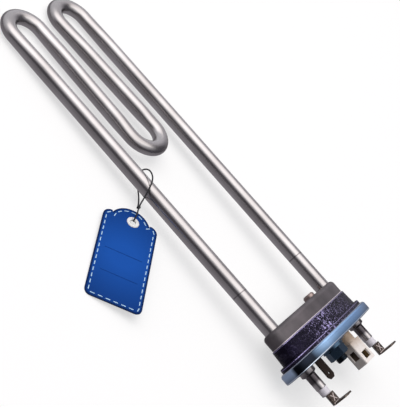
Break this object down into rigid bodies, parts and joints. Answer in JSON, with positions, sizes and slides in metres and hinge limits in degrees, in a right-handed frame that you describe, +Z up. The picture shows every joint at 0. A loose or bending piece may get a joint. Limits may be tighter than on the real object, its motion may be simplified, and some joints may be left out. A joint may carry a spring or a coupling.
{
  "type": "washing machine heating element",
  "caption": "Tubular immersion heater with hairpin legs, an oval clamp flange and gasket, push-on terminals, a plug-in temperature sensor and a blank hang tag.",
  "frame": {"origin": "centre of the oval face where the lip of the gasket meets the outside of the tub", "axes": "+X out of the tub towards the terminals, +Y across the legs towards the sensor, +Z up, square to the plane of the bent tube"},
  "size_m": [0.2631, 0.1501, 0.0314],
  "materials": {
    "stainless_tube": "polished stainless steel",
    "magnesia": "packed white oxide powder",
    "resistance_wire": "close wound alloy wire",
    "pin_steel": "drawn steel",
    "seal_silicone": "cast silicone",
    "white_ceramic": "fired ceramic",
    "terminal_steel": "plated steel strip",
    "inner_plate_steel": "grey phosphated pressing",
    "gasket_rubber": "moulded black rubber",
    "blue_zinc": "blue passivated zinc plate",
    "zinc_fastener": "zinc plated steel",
    "earth_strip": "dark oxidised strip",
    "probe_steel": "drawn stainless sleeve",
    "sensor_bead": "glass coated bead",
    "sensor_copper": "tinned copper",
    "sensor_resin": "cast resin",
    "cream_nylon": "moulded nylon",
    "blue_card": "printed coated card",
    "white_eyelet": "moulded ring",
    "dark_thread": "twisted thread"
  },
  "bodies": {
    "root": {"heater_sheath": "stainless_tube", "magnesia_filling": "magnesia", "resistance_coil": "resistance_wire", "cold_pin_left": "pin_steel", "cold_pin_right": "pin_steel", "end_seal_left": "seal_silicone", "end_seal_right": "seal_silicone", "end_bead_left": "white_ceramic", "end_bead_right": "white_ceramic", "terminal_tab_left": "terminal_steel", "terminal_tab_right": "terminal_steel", "inner_plate": "inner_plate_steel", "gasket": "gasket_rubber", "outer_plate": "blue_zinc", "clamp_stud": "zinc_fastener", "plain_washer": "zinc_fastener", "clamp_nut": "zinc_fastener", "earth_tab": "earth_strip", "sensor_probe": "probe_steel", "thermistor": "sensor_bead", "sensor_leads": "sensor_copper", "sensor_contacts": "sensor_copper", "sensor_potting": "sensor_resin", "sensor_housing": "cream_nylon", "hang_tag": "blue_card", "tag_eyelet": "white_eyelet", "tag_thread": "dark_thread"}
  },
  "joints": []
}
